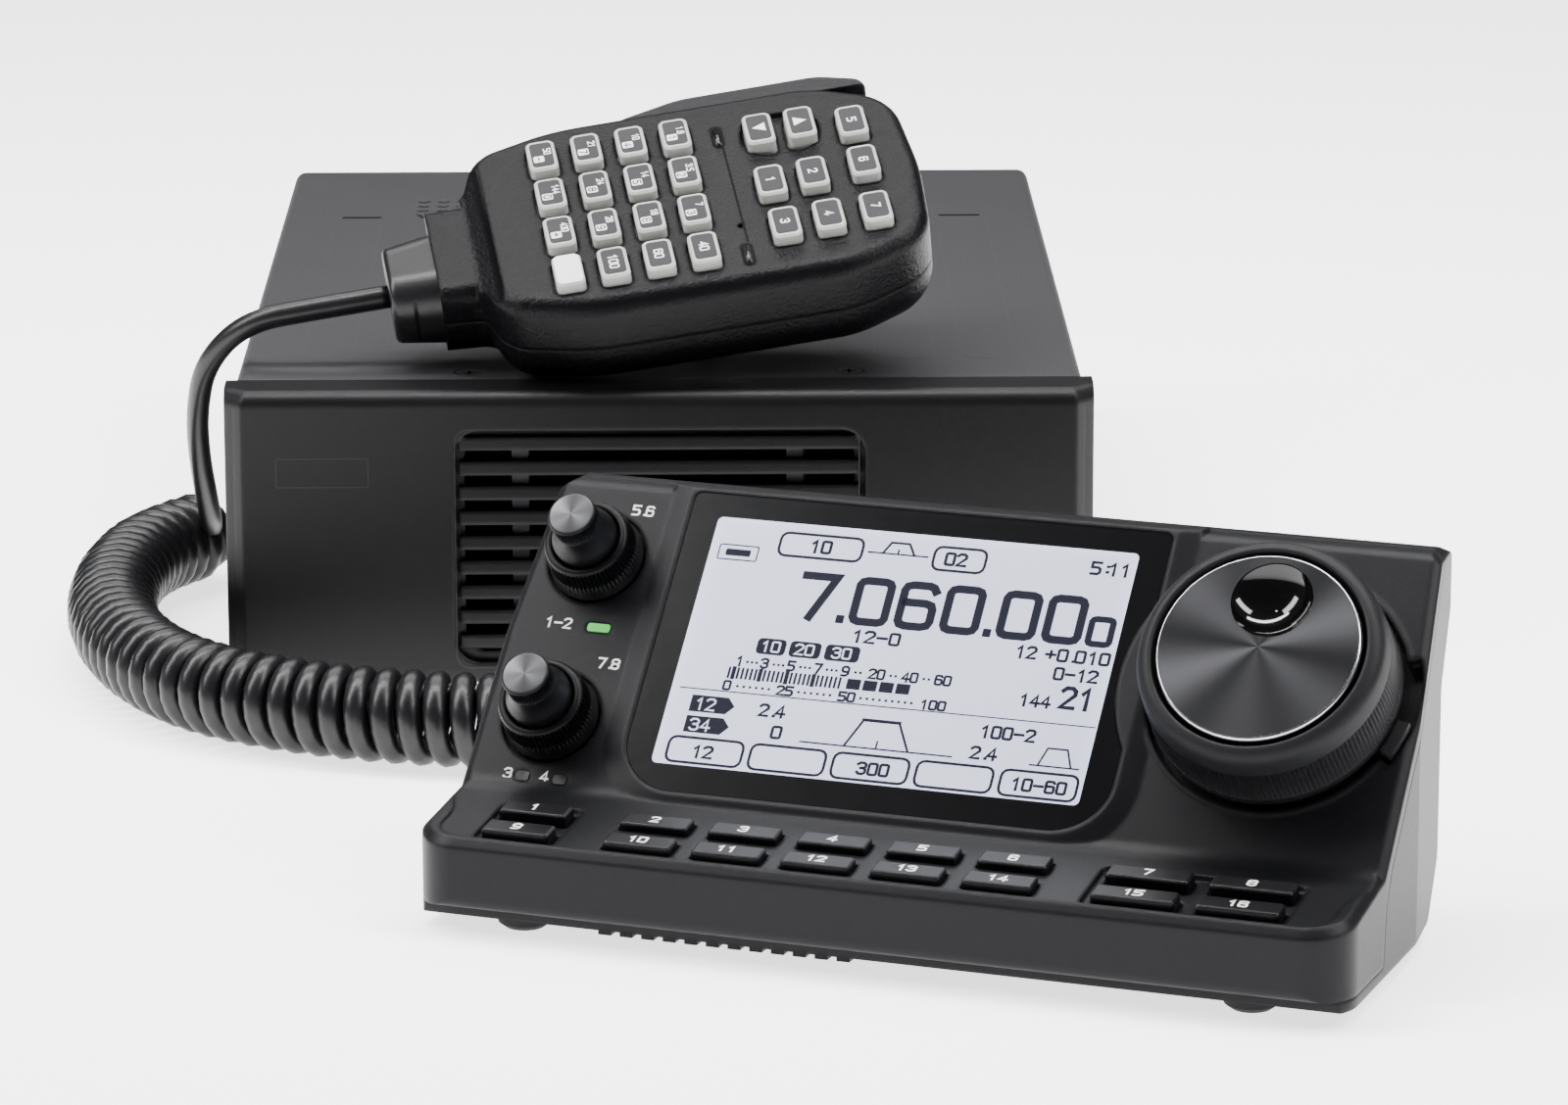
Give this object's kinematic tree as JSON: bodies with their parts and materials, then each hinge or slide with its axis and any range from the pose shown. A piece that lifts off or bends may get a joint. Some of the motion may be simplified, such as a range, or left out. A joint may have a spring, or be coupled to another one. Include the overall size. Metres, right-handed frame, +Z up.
{
  "type": "mobile transceiver",
  "caption": "Mobile two-way radio in two units: a flat main unit, a sloping control head with display, dial, knobs and keys, and a hand microphone on a coiled cord",
  "frame": {"origin": "centre of the main unit's bottom face, on the surface that everything stands on", "axes": "+Z up, the main unit's front panel faces -Y, +X to the right seen from the front; the control head stands in front, turned 21.6 degrees, and the microphone lies on the main unit"},
  "size_m": [0.2525, 0.453, 0.1085],
  "materials": {
    "cast_alloy": "cast",
    "cover_black": "fine textured matt",
    "panel_black": "matt",
    "circuit_board": "matt",
    "fan_plastic": "matt",
    "speaker_black": "satin",
    "nickel": "plated",
    "socket_plastic": "semi gloss",
    "screw_black": "black oxide",
    "controller_grey": "fine grained satin",
    "window_black": "gloss",
    "lcd_white": "lit",
    "lamp_green": "lit",
    "foot_rubber": "matt",
    "dial_rubber": "ribbed",
    "spun_metal": "spun, dark anodised",
    "bowl_gloss": "gloss",
    "lever_grey": "satin",
    "knob_black": "knurled",
    "mic_black": "grained",
    "mic_ptt_grey": "grained",
    "key_dark": "satin",
    "key_light": "satin, translucent",
    "key_cap": "satin",
    "cord_rubber": "semi gloss",
    "plug_clear": "gloss"
  },
  "bodies": {
    "root": {"main_chassis": "cast_alloy", "main_top_cover": "cover_black", "main_bottom_cover": "cover_black", "main_front_panel": "panel_black", "main_board": "circuit_board", "fan_frame": "fan_plastic", "speaker": "speaker_black", "antenna_sockets": "nickel", "rear_sockets": "socket_plastic", "case_screws": "screw_black", "controller_front_case": "controller_grey", "controller_rear_case": "controller_grey", "display_window": "window_black", "lcd_module": "lcd_white", "controller_boards": "circuit_board", "status_lamps": "lamp_green", "controller_feet": "foot_rubber", "rear_jacks": "socket_plastic", "cord_lead": "cord_rubber", "cord_coil": "cord_rubber", "cord_tail": "cord_rubber", "modular_plug": "plug_clear"},
    "fan": {"fan_rotor": "fan_plastic"},
    "dial": {"dial_grip": "dial_rubber", "dial_face": "spun_metal", "finger_bowl": "bowl_gloss"},
    "lever": {"tension_lever": "lever_grey"},
    "af_knob": {"af_gain_knob": "knob_black"},
    "rf_ring": {"rf_squelch_ring": "knob_black"},
    "channel": {"channel_knob": "knob_black"},
    "bank": {"bank_ring": "knob_black"},
    "press_key_left_rear": {"key_left_rear": "key_cap"},
    "press_key_left_front": {"key_left_front": "key_cap"},
    "press_key_middle_rear_1": {"key_middle_rear_1": "key_cap"},
    "press_key_middle_rear_2": {"key_middle_rear_2": "key_cap"},
    "press_key_middle_rear_3": {"key_middle_rear_3": "key_cap"},
    "press_key_middle_rear_4": {"key_middle_rear_4": "key_cap"},
    "press_key_middle_rear_5": {"key_middle_rear_5": "key_cap"},
    "press_key_middle_front_1": {"key_middle_front_1": "key_cap"},
    "press_key_middle_front_2": {"key_middle_front_2": "key_cap"},
    "press_key_middle_front_3": {"key_middle_front_3": "key_cap"},
    "press_key_middle_front_4": {"key_middle_front_4": "key_cap"},
    "press_key_middle_front_5": {"key_middle_front_5": "key_cap"},
    "press_key_right_rear_1": {"key_right_rear_1": "key_cap"},
    "press_key_right_rear_2": {"key_right_rear_2": "key_cap"},
    "press_key_right_front_1": {"key_right_front_1": "key_cap"},
    "press_key_right_front_2": {"key_right_front_2": "key_cap"},
    "mic": {"mic_front_shell": "mic_black", "mic_rear_shell": "mic_black", "mic_board": "circuit_board", "mic_hanger_button": "nickel", "mic_boot": "cord_rubber"},
    "ptt": {"mic_ptt_bar": "mic_ptt_grey"},
    "mic_up": {"mic_up_key": "key_dark"},
    "mic_down": {"mic_down_key": "key_dark"},
    "press_mic_number_row_1": {"mic_number_row_1": "key_light"},
    "press_mic_number_row_2": {"mic_number_row_2": "key_light"},
    "press_mic_number_row_3": {"mic_number_row_3": "key_light"},
    "press_mic_number_row_4": {"mic_number_row_4": "key_light"},
    "mic_functions": {"mic_function_keys": "key_dark"}
  },
  "joints": [
    {"name": "fan_spin", "type": "hinge", "parent": "root", "child": "fan", "pos_m": [0, 0.103, 0.03], "axis": [0, 1, 0], "continuous": true},
    {"name": "dial_spin", "type": "hinge", "parent": "root", "child": "dial", "pos_m": [0.10387, -0.27893, 0.04349], "axis": [-0.2714, -0.6855, 0.6756], "continuous": true},
    {"name": "tension_lever_swing", "type": "hinge", "parent": "root", "child": "lever", "pos_m": [0.10387, -0.27893, 0.04349], "axis": [-0.2714, -0.6855, 0.6756], "range_deg": [0, 27]},
    {"name": "af_gain_turn", "type": "hinge", "parent": "root", "child": "af_knob", "pos_m": [-0.0106, -0.22387, 0.05337], "axis": [-0.2714, -0.6855, 0.6756], "range_deg": [-135, 135]},
    {"name": "rf_squelch_turn", "type": "hinge", "parent": "root", "child": "rf_ring", "pos_m": [-0.0106, -0.22387, 0.05337], "axis": [-0.2714, -0.6855, 0.6756], "range_deg": [-135, 135]},
    {"name": "channel_turn", "type": "hinge", "parent": "root", "child": "channel", "pos_m": [-0.01843, -0.24365, 0.03015], "axis": [-0.2714, -0.6855, 0.6756], "continuous": true},
    {"name": "bank_turn", "type": "hinge", "parent": "root", "child": "bank", "pos_m": [-0.01843, -0.24365, 0.03015], "axis": [-0.2714, -0.6855, 0.6756], "continuous": true},
    {"name": "key_left_rear_press", "type": "slide", "parent": "root", "child": "press_key_left_rear", "axis": [0.0576, 0.1454, -0.9877], "range_m": [0, 0.0008], "stiffness_N_per_m": 800, "springref_m": -0.0004},
    {"name": "key_left_front_press", "type": "slide", "parent": "root", "child": "press_key_left_front", "axis": [0.0576, 0.1454, -0.9877], "range_m": [0, 0.0008], "stiffness_N_per_m": 800, "springref_m": -0.0004},
    {"name": "key_middle_rear_1_press", "type": "slide", "parent": "root", "child": "press_key_middle_rear_1", "axis": [0.0576, 0.1454, -0.9877], "range_m": [0, 0.0008], "stiffness_N_per_m": 800, "springref_m": -0.0004},
    {"name": "key_middle_rear_2_press", "type": "slide", "parent": "root", "child": "press_key_middle_rear_2", "axis": [0.0576, 0.1454, -0.9877], "range_m": [0, 0.0008], "stiffness_N_per_m": 800, "springref_m": -0.0004},
    {"name": "key_middle_rear_3_press", "type": "slide", "parent": "root", "child": "press_key_middle_rear_3", "axis": [0.0576, 0.1454, -0.9877], "range_m": [0, 0.0008], "stiffness_N_per_m": 800, "springref_m": -0.0004},
    {"name": "key_middle_rear_4_press", "type": "slide", "parent": "root", "child": "press_key_middle_rear_4", "axis": [0.0576, 0.1454, -0.9877], "range_m": [0, 0.0008], "stiffness_N_per_m": 800, "springref_m": -0.0004},
    {"name": "key_middle_rear_5_press", "type": "slide", "parent": "root", "child": "press_key_middle_rear_5", "axis": [0.0576, 0.1454, -0.9877], "range_m": [0, 0.0008], "stiffness_N_per_m": 800, "springref_m": -0.0004},
    {"name": "key_middle_front_1_press", "type": "slide", "parent": "root", "child": "press_key_middle_front_1", "axis": [0.0576, 0.1454, -0.9877], "range_m": [0, 0.0008], "stiffness_N_per_m": 800, "springref_m": -0.0004},
    {"name": "key_middle_front_2_press", "type": "slide", "parent": "root", "child": "press_key_middle_front_2", "axis": [0.0576, 0.1454, -0.9877], "range_m": [0, 0.0008], "stiffness_N_per_m": 800, "springref_m": -0.0004},
    {"name": "key_middle_front_3_press", "type": "slide", "parent": "root", "child": "press_key_middle_front_3", "axis": [0.0576, 0.1454, -0.9877], "range_m": [0, 0.0008], "stiffness_N_per_m": 800, "springref_m": -0.0004},
    {"name": "key_middle_front_4_press", "type": "slide", "parent": "root", "child": "press_key_middle_front_4", "axis": [0.0576, 0.1454, -0.9877], "range_m": [0, 0.0008], "stiffness_N_per_m": 800, "springref_m": -0.0004},
    {"name": "key_middle_front_5_press", "type": "slide", "parent": "root", "child": "press_key_middle_front_5", "axis": [0.0576, 0.1454, -0.9877], "range_m": [0, 0.0008], "stiffness_N_per_m": 800, "springref_m": -0.0004},
    {"name": "key_right_rear_1_press", "type": "slide", "parent": "root", "child": "press_key_right_rear_1", "axis": [0.0576, 0.1454, -0.9877], "range_m": [0, 0.0008], "stiffness_N_per_m": 800, "springref_m": -0.0004},
    {"name": "key_right_rear_2_press", "type": "slide", "parent": "root", "child": "press_key_right_rear_2", "axis": [0.0576, 0.1454, -0.9877], "range_m": [0, 0.0008], "stiffness_N_per_m": 800, "springref_m": -0.0004},
    {"name": "key_right_front_1_press", "type": "slide", "parent": "root", "child": "press_key_right_front_1", "axis": [0.0576, 0.1454, -0.9877], "range_m": [0, 0.0008], "stiffness_N_per_m": 800, "springref_m": -0.0004},
    {"name": "key_right_front_2_press", "type": "slide", "parent": "root", "child": "press_key_right_front_2", "axis": [0.0576, 0.1454, -0.9877], "range_m": [0, 0.0008], "stiffness_N_per_m": 800, "springref_m": -0.0004},
    {"name": "mic_lift", "type": "slide", "parent": "root", "child": "mic", "axis": [0, 0, 1], "range_m": [0, 0.06]},
    {"name": "ptt_press", "type": "slide", "parent": "mic", "child": "ptt", "axis": [0.1529, -0.8802, -0.4493], "range_m": [0, 0.0016], "stiffness_N_per_m": 800, "springref_m": -0.0008},
    {"name": "mic_up_press", "type": "slide", "parent": "mic", "child": "mic_up", "axis": [0.0814, 0.4644, -0.8819], "range_m": [0, 0.0007], "stiffness_N_per_m": 800, "springref_m": -0.0004},
    {"name": "mic_down_press", "type": "slide", "parent": "mic", "child": "mic_down", "axis": [0.0814, 0.4644, -0.8819], "range_m": [0, 0.0007], "stiffness_N_per_m": 800, "springref_m": -0.0004},
    {"name": "mic_number_row_1_press", "type": "slide", "parent": "mic", "child": "press_mic_number_row_1", "axis": [0.0814, 0.4644, -0.8819], "range_m": [0, 0.0007], "stiffness_N_per_m": 1500, "springref_m": -0.0004},
    {"name": "mic_number_row_2_press", "type": "slide", "parent": "mic", "child": "press_mic_number_row_2", "axis": [0.0814, 0.4644, -0.8819], "range_m": [0, 0.0007], "stiffness_N_per_m": 1500, "springref_m": -0.0004},
    {"name": "mic_number_row_3_press", "type": "slide", "parent": "mic", "child": "press_mic_number_row_3", "axis": [0.0814, 0.4644, -0.8819], "range_m": [0, 0.0007], "stiffness_N_per_m": 1500, "springref_m": -0.0004},
    {"name": "mic_number_row_4_press", "type": "slide", "parent": "mic", "child": "press_mic_number_row_4", "axis": [0.0814, 0.4644, -0.8819], "range_m": [0, 0.0007], "stiffness_N_per_m": 1500, "springref_m": -0.0004},
    {"name": "mic_functions_press", "type": "slide", "parent": "mic", "child": "mic_functions", "axis": [0.0814, 0.4644, -0.8819], "range_m": [0, 0.0007], "stiffness_N_per_m": 2000, "springref_m": -0.0004}
  ]
}
